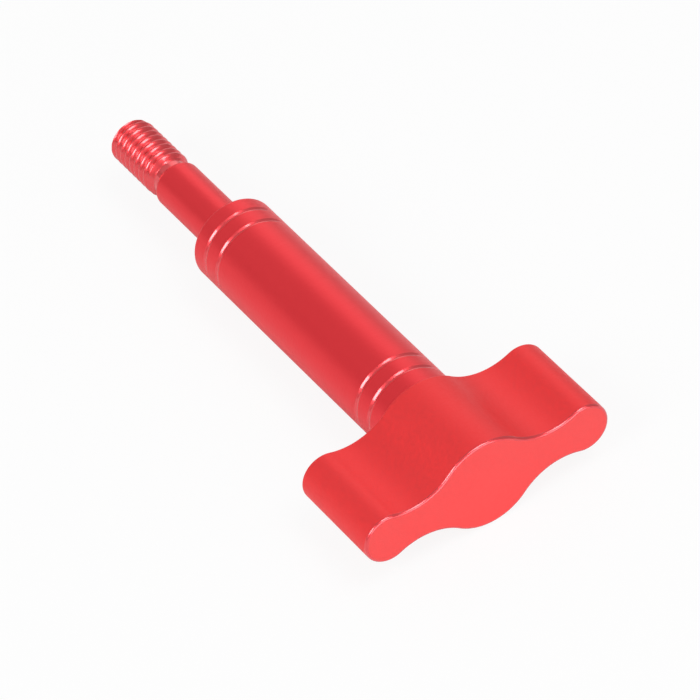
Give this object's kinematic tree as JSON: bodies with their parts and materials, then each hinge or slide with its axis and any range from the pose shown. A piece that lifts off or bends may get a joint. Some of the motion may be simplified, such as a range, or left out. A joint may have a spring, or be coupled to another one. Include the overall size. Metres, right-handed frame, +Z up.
{
  "type": "t handle knob",
  "caption": "T-handle knob: a three-lobed aluminium handle on a long grooved stem that ends in a plain shank and a screw thread, for clamping a part by hand.",
  "frame": {"origin": "on the surface that the knob lies on, below the middle of its length and the stem's axis", "axes": "+Y along the stem towards the tip of the thread, +X along the handle, +Z up, across the handle's thickness"},
  "size_m": [0.0432, 0.1038, 0.0157],
  "materials": {
    "handle_red": "satin red anodised",
    "stem_red": "satin red anodised, turned"
  },
  "bodies": {
    "root": {"handle": "handle_red", "stem": "stem_red"}
  },
  "joints": []
}
